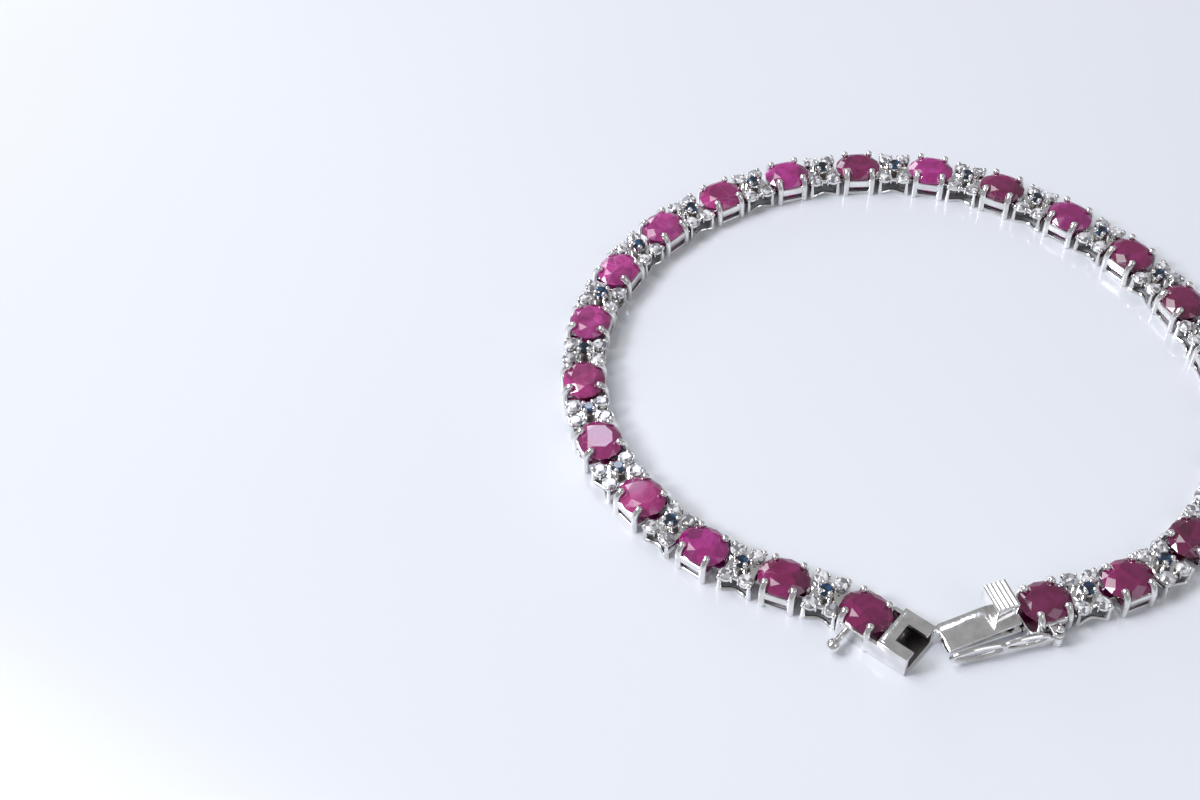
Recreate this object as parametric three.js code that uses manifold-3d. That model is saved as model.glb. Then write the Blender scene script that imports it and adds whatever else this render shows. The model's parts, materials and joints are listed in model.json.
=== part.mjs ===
// A line bracelet lying open on a table, stones up: oval red stones in four-claw links, and between
// them links with four small white stones round a raised blue one. It ends in a box clasp with a
// ball stud, and in a folded spring tongue with a ribbed thumb push and a figure-eight wire catch.
// Millimetres, +Z up. The loop lies in the XY plane and everything rests on z = 0.

import * as THREE from "three";
import { mergeVertices } from "three/addons/utils/BufferGeometryUtils.js";
import Module from "manifold-3d";

const wasm = await Module();
wasm.setup();

// The chain
const rubyCount = 23;
const pitch = 7.8; // from one red stone to the next
const linkGap = 0.55; // between two links, at the middle of their width
const wall = 0.4;
const seatClearance = 0.1; // between a stone and the metal that holds it
const railHeight = 0.35; // the rail at the foot of a link
const upperRailHeight = 0.75; // the rail under a red stone's edge
const cornerClearance = 0.02;

// The red stones
const rubyLength = 4.7;
const rubyWidth = 4.1;
const rubyCrown = 0.65;
const rubyPavilion = 1.4;
const rubyTable = 0.6; // share of the stone's width
const rubySides = 12;
const culetHeight = 0.7;
const girdleLift = 0.25; // the stone's widest line over the rail below it

// The claws
const clawRadius = 0.33;
const clawOverTable = 0.2;
const clawBite = 0.25; // how far a claw's tip reaches in over the stone's edge
const clawShoulder = 0.3; // height of the rounded tip
const wireSides = 5;

// The small stones
const whiteStone = 1.3;
const whiteRise = 0.5; // over the deck that carries them
const whiteTable = 0.62;
const blueStone = 1.3;
const blueCollet = 0.65; // height of the blue stone's ring over the deck
const blueCrown = 0.4;
const blueTable = 0.6;
const smallSides = 8;
const deckDrop = 0.1; // the deck below the red stones' rail
const stoneRim = 0.04; // metal outside the small stones
const waistDip = 0.45; // how far a side draws in between its two white stones

// The knuckle that joins two links
const knuckleWidth = 1.2;
const knuckleHeight = 0.6;
const knuckleGrip = 0.2; // how far it runs into the next link's end wall
const knuckleClearance = 0.08;

// The box clasp
const boxReach = 5.5; // from its red stone to the mouth
const boxHeight = 2.5;
const boxPlate = 0.35;
const boxSetback = 0.15; // from the end of the stone to the top plate
const boxLip = 0.3;
const boxLipDrop = 0.45;
const notchLength = 1.9;
const notchWidth = 2.0;
const notchOffset = 0.1; // to the outer side of the loop
const studPlace = -0.3; // along the box, from its red stone
const studHeight = 1.0;
const studNeck = 0.3;
const studBall = 0.6;
const studReach = 1.4; // from the wall to the middle of the ball
const ballSides = 10;

// The spring tongue and its link
const linkNose = 2.6; // from the last red stone to the front of its link
const noseHeight = 1.6;
const tongueReach = 9.7; // from the last red stone to the fold
const tongueWidth = 2.8;
const tongueOffset = -0.15; // to the outer side of the loop
const tongueFoot = 0.5;
const leaf = 0.3;
const foldHeight = 0.8; // outside, from the lower leaf's underside to the upper one's top
const leafRise = 1.75; // height of the upper leaf at its free end
const leafEnd = 2.85; // where the upper leaf ends, from the last red stone
const tongueRoot = 0.7; // how far the lower leaf is let into the link
const rootClearance = 0.08;

// The ribbed thumb push
const pushStart = 2.55;
const pushLength = 2.4;
const pushWidth = 3.0;
const pushOffset = -0.5;
const pushTop = 3.9;
const ribCount = 5;
const ribDepth = 0.28;

// The wire catch and its pin
const catchWire = 0.22; // radius
const catchHinge = 0.2; // place along the link, from the last red stone
const catchStandoff = 0.75; // from the link's side to the pin
const catchLean = -6; // degrees that it lies turned towards the tongue
const catchHeight = 1.15;
const catchLoopHeight = 1.7;
const catchLength = 9.6; // from the pin to the middle of the wire at its tip
const catchWaist = 4.9;
const catchRoot = 0.85; // from the pin to where the first loop starts
const loopSides = 12;
const eyeRadius = 0.52;
const eyeHeight = 0.85;
const pinRadius = 0.2;
const pinClearance = 0.08;
const pinHead = 0.36;
const lugThickness = 0.3;
const lugRadius = 0.5;
const lugGap = 0.07;
const lugFoot = 0.05;

// The loop's route as it lies: the mouth of the box, the middles of some links, the tongue's fold.
// It keeps its shape and is scaled so that its length is the chain's.
const route = [
  [-2.5, -31.9],
  [-8.1, -26.7],
  [-13.3, -24.1],
  [-20.0, -20.2],
  [-28.5, -7.3],
  [-28.5, 8.4],
  [-20.2, 20.9],
  [-6.3, 27.6],
  [9.2, 26.7],
  [21.9, 18.3],
  [30.0, 5.2],
  [31.1, -10.0],
  [23.2, -22.3],
  [16.6, -26.4],
  [8.9, -28.0],
  [-0.5, -30.9],
];

// Sizes that follow from these
const linkPitch = pitch / 2;
const linkLength = linkPitch - linkGap;
const halfLink = linkLength / 2;
const girdleHeight = culetHeight + rubyPavilion;
const wallTop = girdleHeight - girdleLift;
const tableHeight = girdleHeight + rubyCrown;
const innerHalf = (rubyWidth / 2) * (1 - girdleLift / rubyPavilion) + seatClearance;
const outerHalf = innerHalf + wall;
const clawX = halfLink - clawRadius;
const clawY = outerHalf + cornerClearance;
const endInner = clawX - wall / 2;
const endOuter = clawX + wall / 2;
const endTop = culetHeight + (rubyPavilion * (endInner - seatClearance)) / (rubyLength / 2);
const deckTop = wallTop - deckDrop;
const windowTop = wallTop - upperRailHeight;
const knuckleBottom = railHeight + cornerClearance;
const hingeY = outerHalf + catchStandoff;
const plainLinks = 2 * rubyCount - 3;
const boxLength = linkPitch / 2 + boxReach;
const tongueLength = linkPitch / 2 + tongueReach;
const frontStart = rubyLength / 2 + boxSetback;

const silver = () => new THREE.MeshStandardMaterial({ color: 0xd9dadc, metalness: 1, roughness: 0.18 });
const ruby = () => new THREE.MeshStandardMaterial({ color: 0xa02368, metalness: 0, roughness: 0.12 });

// A closed geometry as a solid that can be joined or cut. Faces that shrink to a line are dropped.
function solidOf(geometry) {
  const bare = geometry.clone();
  bare.deleteAttribute("normal");
  bare.deleteAttribute("uv");
  const merged = mergeVertices(bare, 1e-4);
  const corners = merged.index.array;
  const faces = [];
  for (let i = 0; i < corners.length; i += 3) {
    const [a, b, c] = [corners[i], corners[i + 1], corners[i + 2]];
    if (a !== b && b !== c && c !== a) faces.push(a, b, c);
  }
  return new wasm.Manifold(
    new wasm.Mesh({
      numProp: 3,
      vertProperties: merged.attributes.position.array,
      triVerts: new Uint32Array(faces),
    }),
  );
}

function geometryOf(solid) {
  const mesh = solid.getMesh();
  const geometry = new THREE.BufferGeometry();
  geometry.setAttribute("position", new THREE.BufferAttribute(mesh.vertProperties, mesh.numProp));
  geometry.setIndex(new THREE.BufferAttribute(mesh.triVerts, 1));
  return geometry;
}

// Pieces joined into one body, without the crumbs that rounding leaves.
function joined(solids) {
  const bodies = solids.reduce((whole, piece) => whole.add(piece)).decompose();
  return bodies.sort((a, b) => b.volume() - a.volume())[0];
}

function block(x0, x1, y0, y1, z0, z1) {
  const box = new THREE.BoxGeometry(x1 - x0, y1 - y0, z1 - z0);
  return solidOf(box.translate((x0 + x1) / 2, (y0 + y1) / 2, (z0 + z1) / 2));
}

function outlineShape(points) {
  return new THREE.Shape(points.map(([x, y]) => new THREE.Vector2(x, y)));
}

// A plan outline raised from z0 to z1.
function raised(shape, z0, z1, curveSegments = 4) {
  const geometry = new THREE.ExtrudeGeometry(shape, {
    depth: z1 - z0,
    bevelEnabled: false,
    curveSegments,
  });
  return solidOf(geometry.translate(0, 0, z0));
}

// A side outline in X and Z, run across the bracelet from y0 to y1.
function runAcross(points, y0, y1) {
  const geometry = new THREE.ExtrudeGeometry(outlineShape(points), {
    depth: y1 - y0,
    bevelEnabled: false,
  });
  geometry.rotateX(Math.PI / 2);
  return solidOf(geometry.translate(0, y1, 0));
}

// A turned shape about the Z axis. The profile is pairs of radius and height, from low to high.
function turned(profile, sides) {
  const points = profile.map(([radius, height]) => new THREE.Vector2(radius, height));
  const geometry = new THREE.LatheGeometry(points, sides);
  geometry.rotateY(Math.PI / sides);
  return geometry.rotateX(Math.PI / 2);
}

function rubyStone() {
  const geometry = turned(
    [
      [0, culetHeight],
      [1, girdleHeight],
      [rubyTable, tableHeight],
      [0, tableHeight],
    ],
    rubySides,
  );
  return geometry.scale(rubyLength / 2, rubyWidth / 2, 1);
}

// One claw: a round post on the link's corner, bent in over the stone's edge and rounded at its tip.
function claw(sideX, sideY) {
  const top = tableHeight + clawOverTable;
  const bend = girdleHeight - cornerClearance;
  const geometry = turned(
    [
      [0, 0],
      [clawRadius, 0],
      [clawRadius, bend],
      [clawRadius, top - clawShoulder],
      [0, top],
    ],
    wireSides,
  );
  const edge = (rubyWidth / 2) * Math.sqrt(1 - (clawX / (rubyLength / 2)) ** 2);
  const leanY = clawY - (edge - clawBite);
  const leanX = clawBite / 2;
  const place = geometry.attributes.position;
  for (let i = 0; i < place.count; i++) {
    const lean = Math.max(0, (place.getZ(i) - bend) / (top - bend));
    place.setX(i, place.getX(i) + sideX * (clawX - lean * leanX));
    place.setY(i, place.getY(i) + sideY * (clawY - lean * leanY));
  }
  return solidOf(geometry);
}

function fourClaws() {
  return [claw(1, 1), claw(1, -1), claw(-1, 1), claw(-1, -1)];
}

// A red stone's link: an open frame with a window in each long side, and a claw at each corner.
function rubySetting() {
  const frame = outlineShape([
    [-endOuter, -outerHalf],
    [endOuter, -outerHalf],
    [endOuter, outerHalf],
    [-endOuter, outerHalf],
  ]);
  frame.holes.push(
    new THREE.Path(
      [
        [-endInner, -innerHalf],
        [-endInner, innerHalf],
        [endInner, innerHalf],
        [endInner, -innerHalf],
      ].map(([x, y]) => new THREE.Vector2(x, y)),
    ),
  );
  const walls = raised(frame, 0, wallTop);
  const overEnds = block(-halfLink, halfLink, -innerHalf, innerHalf, endTop, wallTop + wall);
  const window = block(-endInner, endInner, -2 * outerHalf, 2 * outerHalf, railHeight, windowTop);
  return joined([walls.subtract(overEnds).subtract(window), ...fourClaws()]);
}

// A small round stone: a band from the deck up to its widest line, then a crown and a table.
function smallStone(x, y, diameter, bottom, band, crown, table) {
  const radius = diameter / 2;
  const geometry = turned(
    [
      [0, bottom],
      [radius, bottom],
      [radius, band],
      [radius * table, band + crown],
      [0, band + crown],
    ],
    smallSides,
  );
  return solidOf(geometry.translate(x, y, 0));
}

// A link between two red stones: its plan draws in at the waist on both sides, a window runs
// through below the deck, and the deck carries four white stones and the blue one.
function clusterLink() {
  const whiteX = halfLink - whiteStone / 2 - stoneRim;
  const whiteY = outerHalf - whiteStone / 2 - stoneRim;
  const side = [
    [-halfLink, outerHalf],
    [-whiteX / 2, outerHalf],
    [0, outerHalf - waistDip],
    [whiteX / 2, outerHalf],
    [halfLink, outerHalf],
  ];
  const outline = [...side.map(([x, y]) => [-x, -y]), ...side].reverse();
  const body = raised(outlineShape(outline), 0, deckTop);
  const windowHalf = halfLink - 2 * wall;
  const window = block(-windowHalf, windowHalf, -2 * outerHalf, 2 * outerHalf, railHeight, windowTop);
  const whites = [];
  for (const x of [-1, 1]) {
    for (const y of [-1, 1]) {
      whites.push(
        smallStone(x * whiteX, y * whiteY, whiteStone, deckTop - wall / 2, deckTop, whiteRise, whiteTable),
      );
    }
  }
  const blueBand = deckTop + blueCollet;
  const blue = smallStone(0, 0, blueStone, deckTop - wall / 2, blueBand, blueCrown, blueTable);
  return joined([body.subtract(window), ...whites, blue]);
}

// The knuckle at a link's front end, and the slot for it in a link that it isn't fused to.
function knuckle(extra) {
  const start = endOuter - wall / 2 - extra;
  const end = start + linkGap + knuckleGrip + wall + 2 * extra;
  const half = knuckleWidth / 2 + extra;
  return block(start, end, -half, half, knuckleBottom - extra, knuckleBottom + knuckleHeight + extra);
}

// The route, scaled to the length of everything that lies on it.
const wholeLength = boxLength + plainLinks * linkPitch + tongueLength;
const chosen = route.map(([x, y]) => new THREE.Vector3(x, y, 0));
const chosenLength = new THREE.CatmullRomCurve3(chosen, false, "centripetal").getLength();
const scaled = chosen.map((point) => point.multiplyScalar(wholeLength / chosenLength));
const path = new THREE.CatmullRomCurve3(scaled, false, "centripetal");
path.arcLengthDivisions = 2000;

// The place of a piece whose ends lie on the route at two lengths from the mouth of the box. Its
// own X runs from the one to the other, and origin is where X is 0, as a length from the first.
function onRoute(from, to, origin) {
  const start = path.getPointAt(from / wholeLength);
  const end = path.getPointAt(Math.min(1, to / wholeLength));
  const along = end.clone().sub(start).normalize();
  const place = new THREE.Matrix4().makeRotationZ(Math.atan2(along.y, along.x));
  return place.setPosition(start.clone().addScaledVector(along, origin));
}

const bracelet = new THREE.Group();

function addMesh(name, geometry, material, matrix = new THREE.Matrix4()) {
  const mesh = new THREE.Mesh(geometry, material);
  mesh.name = name;
  mesh.applyMatrix4(matrix);
  bracelet.add(mesh);
}

// Places along the chain. The box and the tongue's link are turned round, mouth or fold first.
const turnRound = new THREE.Matrix4().makeRotationZ(Math.PI);
const boxPlace = onRoute(0, boxLength, boxReach).multiply(turnRound);
const tonguePlace = onRoute(wholeLength - tongueLength, wholeLength, linkPitch / 2);
const linkPlaces = [];
for (let i = 0; i < plainLinks; i++) {
  const from = boxLength + i * linkPitch;
  linkPlaces.push(onRoute(from, from + linkPitch, linkPitch / 2));
}

// The links, in two halves that meet at a knuckle. Every second link holds a red stone.
const setting = rubySetting();
const settingShape = geometryOf(setting.add(knuckle(0)));
const clusterShape = geometryOf(clusterLink().add(knuckle(0)));
const knuckleShape = geometryOf(knuckle(0));
const slotShape = geometryOf(knuckle(knuckleClearance));
const isRuby = (i) => i % 2 === 1;
const halfway = 2 * Math.floor(plainLinks / 4) + 1;

function placedSolid(shape, place) {
  return solidOf(shape.clone().applyMatrix4(place));
}

function chainHalf(first, last) {
  const links = [];
  for (let i = first; i <= last; i++) {
    links.push(placedSolid(isRuby(i) ? settingShape : clusterShape, linkPlaces[i]));
  }
  return links;
}

const leftLinks = chainHalf(0, halfway - 1);
const firstKnuckle = knuckleShape.clone().applyMatrix4(turnRound);
leftLinks.push(placedSolid(firstKnuckle, linkPlaces[0]));
addMesh("setting_chain_left", geometryOf(joined(leftLinks)), silver());

const meetingSlot = placedSolid(slotShape, linkPlaces[halfway - 1]);
const rightLinks = joined(chainHalf(halfway, plainLinks - 1)).subtract(meetingSlot);
addMesh("setting_chain_right", geometryOf(rightLinks), silver());

// The red stones, counted from the box clasp.
const stonePlaces = [boxPlace, ...linkPlaces.filter((place, i) => isRuby(i)), tonguePlace];
stonePlaces.forEach((place, i) => {
  addMesh("ruby_" + String(i + 1).padStart(2, "0"), rubyStone(), ruby(), place);
});

// The profile of a ball on a neck: from where the two meet, over the widest line, to the tip.
function ballProfile(neck, ball, middle) {
  const points = [[neck, middle - Math.sqrt(ball ** 2 - neck ** 2)]];
  for (const turn of [90, 60, 30]) {
    const angle = THREE.MathUtils.degToRad(turn);
    points.push([ball * Math.sin(angle), middle + ball * Math.cos(angle)]);
  }
  points.push([0, middle + ball]);
  return points;
}

// The ball stud, turned about the Y axis with its foot in the box's outer wall.
function ballStud() {
  const foot = [
    [0, -wall / 2],
    [studNeck, -wall / 2],
  ];
  const profile = [...foot, ...ballProfile(studNeck, studBall, studReach)];
  const geometry = turned(profile, ballSides).rotateX(Math.PI / 2);
  return solidOf(geometry.translate(studPlace, -outerHalf, studHeight));
}

// The box clasp: an open rear with the first red stone's claws, and a covered front whose top
// plate has a notch at the mouth. Its own X runs to the mouth, and its -Y side is the outer one.
function claspBox() {
  const rear = block(-endOuter, boxReach, -outerHalf, outerHalf, 0, wallTop);
  const front = block(frontStart, boxReach, -outerHalf, outerHalf, 0, boxHeight);
  const under = boxHeight - boxPlate;
  const hollow = block(-endInner, boxReach + wall, -innerHalf, innerHalf, boxPlate, under);
  const stoneWell = block(-endInner, frontStart, -innerHalf, innerHalf, boxPlate, boxHeight + wall);
  const overRear = block(-halfLink, endInner, -innerHalf, innerHalf, endTop, boxHeight);
  const lip = block(frontStart, frontStart + boxLip, -outerHalf, outerHalf, under - boxLipDrop, under);
  const notchSide = notchWidth / 2;
  const notch = block(
    boxReach - notchLength,
    boxReach + wall,
    -notchOffset - notchSide,
    -notchOffset + notchSide,
    under - boxPlate,
    boxHeight + wall,
  );
  const shell = joined([rear, front]).subtract(hollow).subtract(stoneWell).subtract(overRear);
  return joined([shell, lip, ...fourClaws(), ballStud()]).subtract(notch);
}

const boxSlot = placedSolid(slotShape.clone().applyMatrix4(turnRound), linkPlaces[0]);
const boxSlotInBox = solidOf(geometryOf(boxSlot).applyMatrix4(boxPlace.clone().invert()));
addMesh("clasp_box", geometryOf(claspBox().subtract(boxSlotInBox)), silver(), boxPlace);

// One lug of the catch's hinge: an ear on the link's side with a hole for the pin.
function lug(bottom) {
  const ear = new THREE.Shape();
  ear.moveTo(catchHinge - lugRadius, outerHalf - wall / 2);
  ear.lineTo(catchHinge + lugRadius, outerHalf - wall / 2);
  ear.lineTo(catchHinge + lugRadius, hingeY);
  ear.absarc(catchHinge, hingeY, lugRadius, 0, Math.PI, false);
  const hole = new THREE.Path();
  hole.absarc(catchHinge, hingeY, pinRadius + pinClearance, 0, 2 * Math.PI, true);
  ear.holes.push(hole);
  return raised(ear, bottom, bottom + lugThickness);
}

// The last link: the last red stone's setting with a solid nose that takes the tongue's root, and
// two lugs on its outer side. Its own X runs to the tongue, and its +Y side is the outer one.
const lowerLug = lugFoot;
const eyeBottom = lowerLug + lugThickness + lugGap;
const upperLug = eyeBottom + eyeHeight + lugGap;

function tongueEndLink() {
  const nose = block(endInner, linkNose, -outerHalf + wall / 2, outerHalf - wall / 2, 0, noseHeight);
  const overNose = block(0, rubyLength / 2 + seatClearance, -innerHalf, innerHalf, endTop, tableHeight);
  const half = tongueWidth / 2 + rootClearance;
  const rootSlot = block(
    linkNose - tongueRoot - rootClearance,
    linkNose + wall,
    tongueOffset - half,
    tongueOffset + half,
    tongueFoot - rootClearance,
    tongueFoot + leaf + rootClearance,
  );
  return joined([setting, nose.subtract(overNose).subtract(rootSlot), lug(lowerLug), lug(upperLug)]);
}

const endSlot = placedSolid(slotShape, linkPlaces[plainLinks - 1]);
const endSlotInLink = solidOf(geometryOf(endSlot).applyMatrix4(tonguePlace.clone().invert()));
const endLink = tongueEndLink().subtract(endSlotInLink);
addMesh("tongue_end_link", geometryOf(endLink), silver(), tonguePlace);

// The folded spring tongue: a lower leaf let into the link, a round fold, and an upper leaf that
// rises back to the thumb push, which is soldered on it.
function springTongue() {
  const foldX = tongueReach - foldHeight / 2;
  const low = tongueFoot;
  const high = tongueFoot + foldHeight;
  const rise = (x) => high + ((leafRise + leaf - high) * (foldX - x)) / (foldX - leafEnd);
  const foldRadius = foldHeight / 2;
  const fold = [-90, -45, 0, 45, 90].map((turn) => {
    const angle = THREE.MathUtils.degToRad(turn);
    return [foldX + foldRadius * Math.cos(angle), low + foldRadius * (1 + Math.sin(angle))];
  });
  const leaves = [
    [linkNose - tongueRoot, low],
    ...fold,
    [leafEnd, rise(leafEnd)],
    [leafEnd, rise(leafEnd) - leaf],
    [foldX - leaf, high - leaf],
    [foldX - leaf, low + leaf],
    [linkNose - tongueRoot, low + leaf],
  ];
  const half = tongueWidth / 2;
  const body = runAcross(leaves, tongueOffset - half, tongueOffset + half);
  const pushEnd = pushStart + pushLength;
  const push = [
    [leafEnd, rise(leafEnd) - leaf / 2],
    [pushEnd, rise(pushEnd) - leaf / 2],
    [pushEnd, pushTop - ribDepth],
  ];
  const ribPitch = pushLength / ribCount;
  for (let i = 0; i < ribCount; i++) {
    push.push([pushEnd - (i + 0.5) * ribPitch, pushTop]);
    push.push([pushEnd - (i + 1) * ribPitch, pushTop - ribDepth]);
  }
  push.push([pushStart, rise(leafEnd)]);
  const pushHalf = pushWidth / 2;
  return joined([body, runAcross(push, pushOffset - pushHalf, pushOffset + pushHalf)]);
}

addMesh("spring_tongue", geometryOf(springTongue()), silver(), tonguePlace);

// A wire loop in the XZ plane: a ring drawn out to an oval, with its wire left round.
function wireLoop(middleX, halfLength, halfHeight) {
  const ring = halfHeight + halfLength;
  const geometry = new THREE.TorusGeometry(ring, catchWire, wireSides, loopSides);
  const place = geometry.attributes.position;
  for (let i = 0; i < place.count; i++) {
    const turn = Math.atan2(place.getY(i), place.getX(i));
    const off = Math.hypot(place.getX(i), place.getY(i)) - ring;
    const normal = new THREE.Vector2(halfHeight * Math.cos(turn), halfLength * Math.sin(turn));
    normal.normalize();
    place.setX(i, middleX + halfLength * Math.cos(turn) + off * normal.x);
    place.setY(i, halfHeight * Math.sin(turn) + off * normal.y);
  }
  geometry.rotateX(Math.PI / 2);
  return solidOf(geometry.translate(catchHinge, hingeY, catchHeight));
}

// The catch: an eye round the pin, and two wire loops that meet at a waist.
function safetyCatch() {
  const halfHeight = catchLoopHeight / 2 - catchWire;
  const loop = (start, end) => wireLoop((start + end) / 2, (end - start) / 2, halfHeight);
  const inner = pinRadius + pinClearance;
  const eye = turned(
    [
      [inner, eyeBottom],
      [eyeRadius, eyeBottom],
      [eyeRadius, eyeBottom + eyeHeight],
      [inner, eyeBottom + eyeHeight],
      [inner, eyeBottom],
    ],
    ballSides,
  );
  const middle = eyeBottom + eyeHeight / 2;
  const stem = block(
    catchHinge + (inner + eyeRadius) / 2,
    catchHinge + catchRoot + catchWire,
    hingeY - catchWire,
    hingeY + catchWire,
    middle - catchWire,
    middle + catchWire,
  );
  return joined([
    solidOf(eye.translate(catchHinge, hingeY, 0)),
    stem,
    loop(catchRoot, catchWaist),
    loop(catchWaist - catchWire, catchLength),
  ]);
}

const toPin = new THREE.Matrix4().makeTranslation(catchHinge, hingeY, 0);
const lean = new THREE.Matrix4().makeRotationZ(THREE.MathUtils.degToRad(catchLean));
const catchPlace = tonguePlace.clone().multiply(toPin).multiply(lean).multiply(toPin.clone().invert());
addMesh("safety_catch", geometryOf(safetyCatch()), silver(), catchPlace);

// The catch's pin: a shank through both lugs and the eye, under a round head.
function catchPin() {
  const headMiddle = upperLug + lugThickness + lugGap + pinHead;
  const shank = [
    [0, lowerLug],
    [pinRadius, lowerLug],
  ];
  const profile = [...shank, ...ballProfile(pinRadius, pinHead, headMiddle)];
  return solidOf(turned(profile, smallSides).translate(catchHinge, hingeY, 0));
}

addMesh("catch_pin", geometryOf(catchPin()), silver(), tonguePlace);

// The origin is under the middle of the whole, on the surface that it lies on.
bracelet.updateMatrixWorld(true);
const extent = new THREE.Box3().setFromObject(bracelet, true);
const middle = extent.getCenter(new THREE.Vector3());
bracelet.position.set(-middle.x, -middle.y, -extent.min.z);

export default bracelet;
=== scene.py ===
# %% [markdown]
# A line bracelet of oval red stones, dressed for a picture. Oval stones sit in open claw settings, and
# between them lie links with four small white stones round a raised blue one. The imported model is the
# frame: it says where each piece lies. This lesson gives each piece its finished shape and surface.

# %% Load the frame
import json
import math

import bmesh
import bpy
from mathutils import Matrix, Vector

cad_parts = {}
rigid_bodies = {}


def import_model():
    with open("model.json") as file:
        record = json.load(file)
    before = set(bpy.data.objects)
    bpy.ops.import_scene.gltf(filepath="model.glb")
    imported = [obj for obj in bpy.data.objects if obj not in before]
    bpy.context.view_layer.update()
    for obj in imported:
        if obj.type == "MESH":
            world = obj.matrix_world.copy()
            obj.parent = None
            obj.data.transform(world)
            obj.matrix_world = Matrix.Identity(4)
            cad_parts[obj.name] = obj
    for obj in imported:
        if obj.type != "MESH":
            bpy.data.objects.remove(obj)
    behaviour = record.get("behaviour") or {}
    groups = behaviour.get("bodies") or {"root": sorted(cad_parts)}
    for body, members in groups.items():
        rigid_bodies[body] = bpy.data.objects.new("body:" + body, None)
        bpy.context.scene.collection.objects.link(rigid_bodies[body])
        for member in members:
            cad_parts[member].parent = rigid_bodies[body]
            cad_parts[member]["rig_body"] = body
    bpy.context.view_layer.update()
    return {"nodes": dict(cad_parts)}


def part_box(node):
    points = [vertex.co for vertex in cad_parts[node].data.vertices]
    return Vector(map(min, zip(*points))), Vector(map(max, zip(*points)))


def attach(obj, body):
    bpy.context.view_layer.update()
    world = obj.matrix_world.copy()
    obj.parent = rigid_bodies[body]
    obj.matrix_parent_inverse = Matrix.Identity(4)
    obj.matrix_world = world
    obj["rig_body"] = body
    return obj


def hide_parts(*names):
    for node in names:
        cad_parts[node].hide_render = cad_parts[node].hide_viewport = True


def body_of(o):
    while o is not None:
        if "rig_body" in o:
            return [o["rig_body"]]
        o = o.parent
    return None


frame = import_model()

MM = 0.001
nodes = frame["nodes"]

# %% [markdown]
# Shapes are drawn in millimetres, each in its own small frame: X runs along the link, Y across it and
# Z up from the table. These sizes are the real ones, and the heights of the stones come from the frame.

# %% Sizes of a link
ruby_low, ruby_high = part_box("ruby_02")
CULET = ruby_low.z / MM
TABLE = ruby_high.z / MM
GIRDLE = 2.1
RUBY_LENGTH = 4.7
RUBY_WIDTH = 4.1
LINK_PITCH = 3.9
LINK_HALF = 1.675
WALL = 0.4
INNER_HALF = 1.784
OUTER_HALF = INNER_HALF + WALL
RAIL_TOP = 1.85
END_TOP = 1.0
POST = 0.33  # radius of a claw's post
POST_X = LINK_HALF - POST
POST_Y = 2.0
RUBY_OUT = 2.1  # outer face of a red stone's rails
END_OUTER = POST_X + WALL / 2
END_INNER = POST_X - WALL / 2
EDGE = 0.06  # how far a polished edge is rounded
print(f"stones {CULET:.2f} to {TABLE:.2f} mm above the table")

# %% [markdown]
# Colours are written as they look on screen, in sRGB hex, and Blender mixes light in linear values, so
# one function turns them round. A second one adds a node with its settings and links, which keeps the
# recipes below short.

# %% Colour and node helpers
def colour(code):
    parts = [int(code[i : i + 2], 16) / 255 for i in (1, 3, 5)]
    linear = [p / 12.92 if p <= 0.04045 else ((p + 0.055) / 1.055) ** 2.4 for p in parts]
    return (*linear, 1.0)


def add_node(material, kind, settings=None, **inputs):
    """A node of that kind in the material. Inputs are values, or sockets to link from."""
    node = material.node_tree.nodes.new(kind)
    for name, value in (settings or {}).items():
        setattr(node, name, value)
    for name, value in inputs.items():
        socket = node.inputs[name.replace("_", " ")]
        if isinstance(value, bpy.types.NodeSocket):
            material.node_tree.links.new(value, socket)
        else:
            socket.default_value = value
    return node


def new_material(name, **values):
    """A material with its surface shader, and the object coordinates in metres."""
    material = bpy.data.materials.new(name)
    material.use_nodes = True
    shader = material.node_tree.nodes["Principled BSDF"]
    for key, value in values.items():
        shader.inputs[key.replace("_", " ")].default_value = value
    place = add_node(material, "ShaderNodeTexCoord").outputs["Object"]
    return material, shader, place


def per_mm(size):
    """The scale of a pattern whose repeats are that many millimetres apart."""
    return 1 / (size * MM)


# %% [markdown]
# The metal is sterling silver, cast, polished on a wheel and plated with rhodium. That plating is a
# neutral white mirror. Hand polishing leaves faint waves about a millimetre long and very fine rubbed
# lines, so reflections break up a little. Deep corners get painted shade: a darker grey silver, below.

# %% Rhodium plated silver
def rhodium_plated_silver():
    material, shader, place = new_material("rhodium_plated_silver", Metallic=1.0)
    cloud = add_node(
        material, "ShaderNodeTexNoise", Vector=place, Scale=per_mm(1.4), Detail=3.0
    )
    share = add_node(
        material, "ShaderNodeMapRange", Value=cloud.outputs["Fac"], From_Min=0.35, From_Max=0.65
    )
    tone = add_node(
        material,
        "ShaderNodeMixRGB",
        Fac=share.outputs["Result"],
        Color1=colour("#e2e1e0"),
        Color2=colour("#f9f8f7"),
    )
    rub = add_node(
        material, "ShaderNodeTexNoise", Vector=place, Scale=per_mm(0.25), Detail=4.0
    )
    gloss = add_node(
        material, "ShaderNodeMapRange", Value=rub.outputs["Fac"], To_Min=0.03, To_Max=0.14
    )
    waves = add_node(
        material,
        "ShaderNodeBump",
        Height=cloud.outputs["Fac"],
        Strength=0.35,
        Distance=0.05 * MM,
    )
    links = material.node_tree.links
    links.new(tone.outputs["Color"], shader.inputs["Base Color"])
    links.new(gloss.outputs["Result"], shader.inputs["Roughness"])
    links.new(waves.outputs["Normal"], shader.inputs["Normal"])
    return material


silver = rhodium_plated_silver()
print(silver.name, "metallic", 1.0)
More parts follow.
